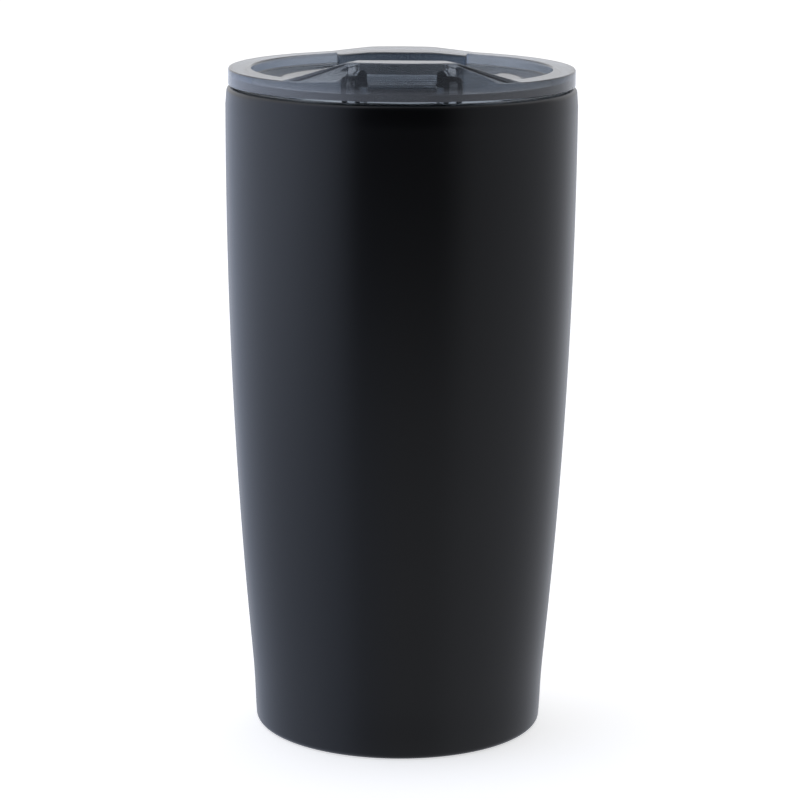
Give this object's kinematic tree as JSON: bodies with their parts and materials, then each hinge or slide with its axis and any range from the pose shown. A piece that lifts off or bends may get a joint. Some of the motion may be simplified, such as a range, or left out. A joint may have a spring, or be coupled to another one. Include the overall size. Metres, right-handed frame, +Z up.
{
  "type": "insulated travel mug",
  "caption": "Tapered double-wall vacuum mug, satin black, with a push-on smoke-grey lid, raised drinking lip and sliding closure.",
  "frame": {"origin": "middle of the base, on the surface that the mug stands on", "axes": "+Z up along the mug's axis, front (drinking side) towards -Y, +X to the right seen from the front"},
  "size_m": [0.0882, 0.0882, 0.1746],
  "materials": {
    "black_paint": "satin black powder coat",
    "liner_steel": "electropolished stainless steel",
    "base_steel": "circular brushed stainless steel",
    "foil": "bright wrapped foil",
    "solder_glass": "fused bead",
    "getter_metal": "pressed dull tablet",
    "smoke_plastic": "glossy clear smoke-grey plastic",
    "silicone": "translucent silicone"
  },
  "bodies": {
    "cup": {"outer_shell": "black_paint", "inner_liner": "liner_steel", "liner_bottom": "liner_steel", "liner_foil": "foil", "vacuum_disc": "base_steel", "evacuation_plug": "solder_glass", "getter": "getter_metal", "getter_clip": "base_steel", "base_cover": "base_steel"},
    "lid": {"lid_body": "smoke_plastic", "lid_gasket": "silicone", "slide_track": "smoke_plastic"},
    "slide": {"slide_plate": "smoke_plastic", "slide_seal": "silicone"}
  },
  "joints": [
    {"name": "lid_lift", "type": "slide", "parent": "cup", "child": "lid", "axis": [0, 0, 1], "range_m": [0, 0.03]},
    {"name": "slide_travel", "type": "slide", "parent": "lid", "child": "slide", "axis": [0, 1, 0], "range_m": [0, 0.013]}
  ]
}
